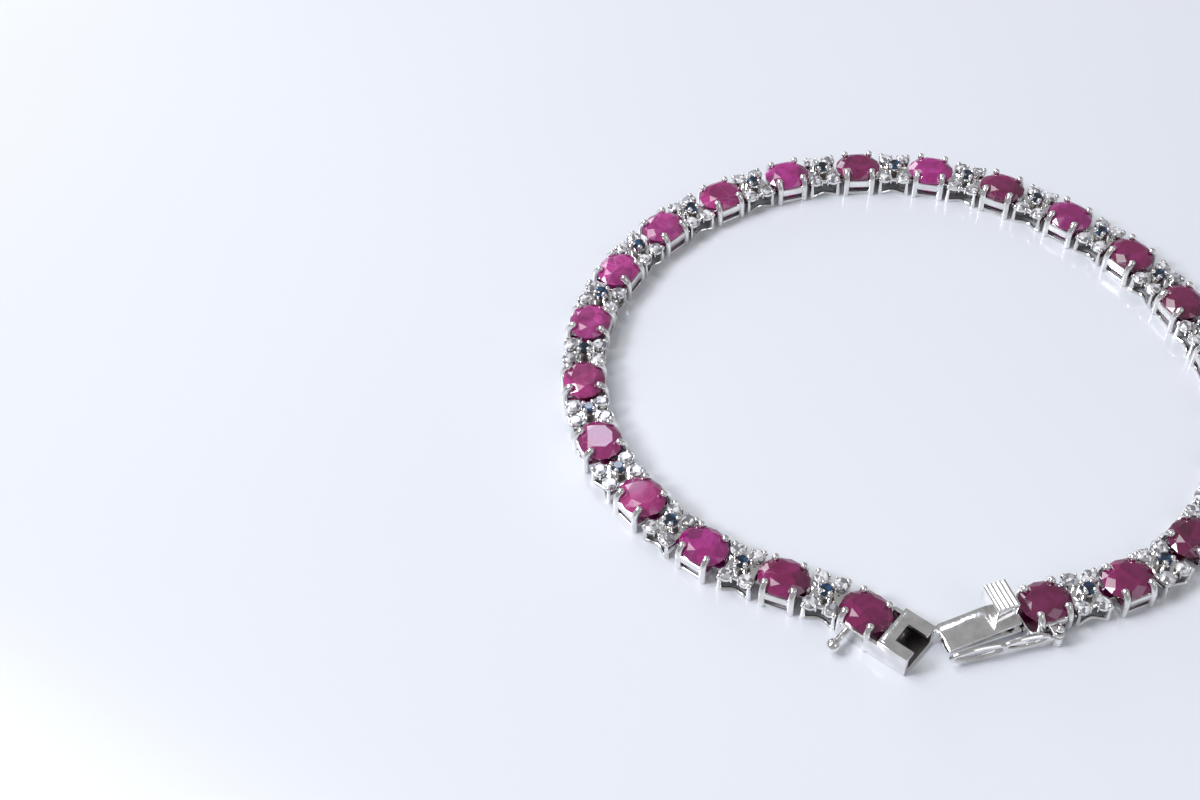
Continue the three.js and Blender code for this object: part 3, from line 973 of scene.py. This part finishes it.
# %% Last link
NOSE = 2.6
NOSE_LIP = 2.45
NOSE_TOP = 1.6
NOSE_HALF = OUTER_HALF - WALL / 2
HINGE_X = 0.2
HINGE_Y = OUTER_HALF + 0.75
AT_PIN = Matrix.Translation((HINGE_X, HINGE_Y, 0))
PIN = 0.2
BORE = 0.28
EAR = 0.5
EARS = ((0.05, 0.35), (1.34, 1.64))
TONGUE_HALF = 1.4
TONGUE_Y = -0.15
LEAF = 0.3
TONGUE_FOOT = 0.5
SLOT = (1.82, 4)  # where the tongue's slot starts, and past the nose where its tool ends
SLOT_HEIGHT = (0.42, 0.88)


def pin_bore(low, high):
    """A tool that bores the pin's hole, past both faces."""
    return turned([(0, low - 1), (BORE, low - 1), (BORE, high + 1), (0, high + 1)], 16, AT_PIN)


def ear(low, high):
    root = RUBY_OUT - 0.2
    outline = [(HINGE_X - EAR, root), (HINGE_X + EAR, root)]
    for turn in range(0, 181, 15):
        angle = math.radians(turn)
        outline.append((HINGE_X + EAR * math.cos(angle), HINGE_Y + EAR * math.sin(angle)))
    return cut(plate(outline, low, high, 0.04), [pin_bore(low, high)])


last_link = solder(
    ruby_setting()
    + [bar((END_INNER, -NOSE_HALF, 0), (NOSE, NOSE_HALF, END_TOP))]
    + [bar((NOSE_LIP, -NOSE_HALF, 0), (NOSE, NOSE_HALF, NOSE_TOP))]
    + [ear(low, high) for low, high in EARS]
)
slot_half = TONGUE_HALF + 0.08
slot_low = (SLOT[0], TONGUE_Y - slot_half, SLOT_HEIGHT[0])
slot_high = (SLOT[1], TONGUE_Y + slot_half, SLOT_HEIGHT[1])
cut(last_link, [bar(slot_low, slot_high, 0.01)])
finish_piece(last_link, "last_link", tongue_place, "bracelet", "tongue_end_link")

# %% [markdown]
# The spring tongue is one strip of hard silver folded on itself. The lower leaf is let into the link,
# and the upper leaf springs up to carry the thumb push, a small block whose top is ridged so that a
# fingertip doesn't slip. Ribs at an even pitch are another case for Geometry Nodes.

# %% Spring tongue
TONGUE_REACH = 9.7
FOLD = 0.8
LEAF_END = 2.85
LEAF_RISE = 1.75
PUSH_START = 2.9
PUSH_END = 4.95
PUSH_TOP = 3.9
PUSH_Y = (-2.3, 0.5)
RIB_COUNT = 5
RIB = 0.24


def strip(outline, low_y, high_y, edge=EDGE):
    """A side outline in X and Z, run across from low_y to high_y."""
    stand = Matrix.Translation((0, high_y, 0)) @ Matrix.Rotation(math.pi / 2, 4, "X")
    return plate(outline, 0, high_y - low_y, edge, stand)


def tongue_outline():
    radius = FOLD / 2
    bend = TONGUE_REACH - radius
    middle = TONGUE_FOOT + radius
    outer = []
    inner = []
    for turn in range(-90, 91, 15):
        angle = math.radians(turn)
        outer.append((bend + radius * math.cos(angle), middle + radius * math.sin(angle)))
        thin = radius - LEAF
        inner.append((bend + thin * math.cos(angle), middle + thin * math.sin(angle)))
    high = TONGUE_FOOT + FOLD
    outline = [(1.9, TONGUE_FOOT)] + outer
    outline += [(LEAF_END, LEAF_RISE + LEAF), (LEAF_END, LEAF_RISE), (bend - 0.2, high - LEAF)]
    return outline + inner[::-1] + [(1.9, TONGUE_FOOT + LEAF)]


def rib_tree():
    tree = bpy.data.node_groups.new("ribs_in_a_row", "GeometryNodeTree")
    tree.interface.new_socket("Rib", in_out="INPUT", socket_type="NodeSocketGeometry")
    tree.interface.new_socket("Count", in_out="INPUT", socket_type="NodeSocketInt")
    tree.interface.new_socket("Pitch", in_out="INPUT", socket_type="NodeSocketFloat")
    tree.interface.new_socket("Metal", in_out="INPUT", socket_type="NodeSocketMaterial")
    tree.interface.new_socket("Ribs", in_out="OUTPUT", socket_type="NodeSocketGeometry")
    make = tree.nodes.new
    given = make("NodeGroupInput")
    step = make("ShaderNodeCombineXYZ")
    row = make("GeometryNodeMeshLine")
    lay = make("GeometryNodeInstanceOnPoints")
    real = make("GeometryNodeRealizeInstances")
    paint = make("GeometryNodeSetMaterial")
    result = make("NodeGroupOutput")
    for start, end in (
        (given.outputs["Pitch"], step.inputs["X"]),
        (given.outputs["Count"], row.inputs["Count"]),
        (step.outputs["Vector"], row.inputs["Offset"]),
        (row.outputs["Mesh"], lay.inputs["Points"]),
        (given.outputs["Rib"], lay.inputs["Instance"]),
        (lay.outputs["Instances"], real.inputs["Geometry"]),
        (real.outputs["Geometry"], paint.inputs["Geometry"]),
        (given.outputs["Metal"], paint.inputs["Material"]),
        (paint.outputs["Geometry"], result.inputs["Ribs"]),
    ):
        tree.links.new(start, end)
    return tree


ribs_in_a_row = rib_tree()


def push_ribs():
    pitch = (PUSH_END - PUSH_START) / RIB_COUNT
    low, high = PUSH_Y
    start = PUSH_START + pitch / 2
    height = PUSH_TOP - RIB
    path = [((start, low, height), 0), ((start, low, height), RIB - EDGE)]
    path += [((start, low + EDGE, height), RIB)]
    path += [((start, high - EDGE, height), RIB), ((start, high, height), RIB - EDGE)]
    rib = swept(path + [((start, high, height), 0)], sides=16)
    step = rib.modifiers.new("ribs", "NODES")
    step.node_group = ribs_in_a_row
    step[socket_id(ribs_in_a_row, "Count")] = RIB_COUNT
    step[socket_id(ribs_in_a_row, "Pitch")] = pitch
    step[socket_id(ribs_in_a_row, "Metal")] = silver
    mesh = plain_mesh(rib, "ribs")
    rib.modifiers.remove(step)
    rib.data = mesh
    return rib


rib_foot = PUSH_TOP - RIB
push_outline = [
    (LEAF_END, 1.9),
    (PUSH_END, 1.75),
    (PUSH_END, rib_foot),
    (PUSH_START, rib_foot),
    (PUSH_START, 2.0),
]
push_block = strip(push_outline, *PUSH_Y)
tongue = solder([
    strip(tongue_outline(), TONGUE_Y - TONGUE_HALF, TONGUE_Y + TONGUE_HALF),
    push_block,
    push_ribs(),
])
finish_piece(tongue, "tongue_spring", tongue_place, "bracelet", "spring_tongue")

# %% [markdown]
# The safety catch is bent from round wire into a figure of eight, with an eye that turns on a pin
# between the ears. When the bracelet is shut, its far loop snaps over the ball stud. It is the one
# piece that moves on a hinge, so it rides on its own body.

# %% Wire catch
WIRE = 0.22
CATCH_Z = 1.15
LOOP_HALF = 0.63
LOOPS = ((0.85, 4.9), (4.68, 9.6))
CATCH_LEAN = -6  # degrees that it lies turned towards the tongue
EYE = 0.52
EYE_HEIGHT = (0.42, 1.27)
STEM = (0.4, 1.05)  # from the pin to the stem's ends
STEM_Z = (0.9, 1.1)


def wire_loop(start, end):
    middle = (start + end) / 2 + HINGE_X
    reach = (end - start) / 2
    path = []
    for i in range(36):
        turn = 2 * math.pi * i / 36
        point = (middle + reach * math.cos(turn), HINGE_Y, CATCH_Z + LOOP_HALF * math.sin(turn))
        path.append((point, WIRE))
    return swept(path, closed=True, sides=10)


def catch_eye():
    low, high = EYE_HEIGHT
    profile = [(0, low), (EYE - EDGE, low), (EYE, low + EDGE)]
    profile += [(EYE, high - EDGE), (EYE - EDGE, high), (0, high)]
    return cut(turned(profile, 20, AT_PIN), [pin_bore(low, high)])


def catch_stem():
    start, end = [(HINGE_X + away, HINGE_Y, height) for away, height in zip(STEM, STEM_Z)]
    return swept([(start, 0), (start, WIRE), (end, WIRE), (end, 0)])


catch = solder([wire_loop(*LOOPS[0]), wire_loop(*LOOPS[1]), catch_eye(), catch_stem()])
catch_body = body_of(nodes["safety_catch"])[0]
to_pin = Matrix.Translation((HINGE_X * MM, HINGE_Y * MM, 0))
catch_place = tongue_place @ to_pin @ Matrix.Rotation(math.radians(CATCH_LEAN), 4, "Z") @ to_pin.inverted()
finish_piece(catch, "wire_catch", catch_place, catch_body, "safety_catch")

PIN_HEAD = 0.36
PIN_FOOT = 0.05
PIN_NECK = 1.75
HEAD_GAP = 0.07  # between the upper ear and the head
head_middle = EARS[1][1] + HEAD_GAP + PIN_HEAD
head = ball_rings(PIN_HEAD, (-50, -20, 10, 40, 65))
pin_profile = [(0, PIN_FOOT), (PIN, PIN_FOOT), (PIN, PIN_NECK)]
pin_profile += [(radius, head_middle + offset) for offset, radius in head]
pin_profile.append((0, head_middle + PIN_HEAD))
pin = turned(pin_profile, 20, AT_PIN)
finish_piece(pin, "hinge_pin", tongue_place, "bracelet", "catch_pin")

# %% Put the patterns away
for pattern in (ruby_link, cluster_link):
    bpy.data.objects.remove(pattern)

# %% [markdown]
# The picture is taken on a glossy, pale blue-white table beside a large window. One large soft light
# stands to the left, and a weaker one overhead. A far window and a fill lift the shadows, and a small
# card at the mirror point of one stone lights its table. A 50 mm lens looks down at about fifty
# degrees, turned a little about its own axis.

# %% Table, lights and camera
def lacquered_table():
    material, shader, place = new_material("white_lacquer", Roughness=0.17, IOR=1.5)
    cloud = add_node(material, "ShaderNodeTexNoise", Vector=place, Scale=per_mm(120), Detail=2.0)
    tone = add_node(
        material,
        "ShaderNodeMixRGB",
        Fac=cloud.outputs["Fac"],
        Color1=colour("#e3e6ed"),
        Color2=colour("#edf0f6"),
    )
    material.node_tree.links.new(tone.outputs["Color"], shader.inputs["Base Color"])
    return material


TABLE_HALF = 0.8
top = bpy.data.meshes.new("table_top")
square = ((-1, -1), (1, -1), (1, 1), (-1, 1))
top.from_pydata([(x * TABLE_HALF, y * TABLE_HALF, 0) for x, y in square], [], [(0, 1, 2, 3)])
top.materials.append(lacquered_table())
table = bpy.data.objects.new("table_top", top)
bpy.context.scene.collection.objects.link(table)


def soft_light(name, place, size, power, tint):
    data = bpy.data.lights.new(name, "AREA")
    data.shape = "RECTANGLE"
    data.size, data.size_y = size
    data.energy = power
    data.color = colour(tint)[:3]
    light = bpy.data.objects.new(name, data)
    light.location = place
    light.rotation_euler = (-Vector(place)).to_track_quat("-Z", "Y").to_euler()
    bpy.context.scene.collection.objects.link(light)


soft_light("window", (-0.675, -0.09, 0.615), (0.24, 0.24), 4.1, "#f4f7ff")
soft_light("ceiling", (-0.3, 0.12, 0.5), (0.3, 0.3), 1.25, "#ffffff")
soft_light("far_window", (-0.25, 0.5, 0.16), (0.22, 0.14), 0.5, "#f4f7ff")
soft_light("fill", (0.35, -0.35, 0.4), (0.3, 0.3), 0.3, "#f4f7ff")
soft_light("card", (-0.0325, 0.308, 0.39), (0.035, 0.036), 0.025, "#e4eaff")

world = bpy.data.worlds.new("studio")
world.use_nodes = True
world.node_tree.nodes["Background"].inputs["Color"].default_value = colour("#dcdcde")
world.node_tree.nodes["Background"].inputs["Strength"].default_value = 0.5
bpy.context.scene.world = world
bpy.context.scene.view_settings.view_transform = "Standard"

CAMERA_PLACE = (-0.02928, -0.10517, 0.12299)
CAMERA_DOWN = 49.32
CAMERA_ROLL = -3.4
lens = bpy.data.cameras.new("camera")
lens.lens = 50
lens.sensor_width = 36
lens.clip_start = 0.01
camera = bpy.data.objects.new("camera", lens)
camera.matrix_world = (
    Matrix.Translation(CAMERA_PLACE)
    @ Matrix.Rotation(math.radians(90 - CAMERA_DOWN), 4, "X")
    @ Matrix.Rotation(math.radians(CAMERA_ROLL), 4, "Z")
)
bpy.context.scene.collection.objects.link(camera)
bpy.context.scene.camera = camera
print("camera", lens.lens, "mm,", CAMERA_DOWN, "degrees down")
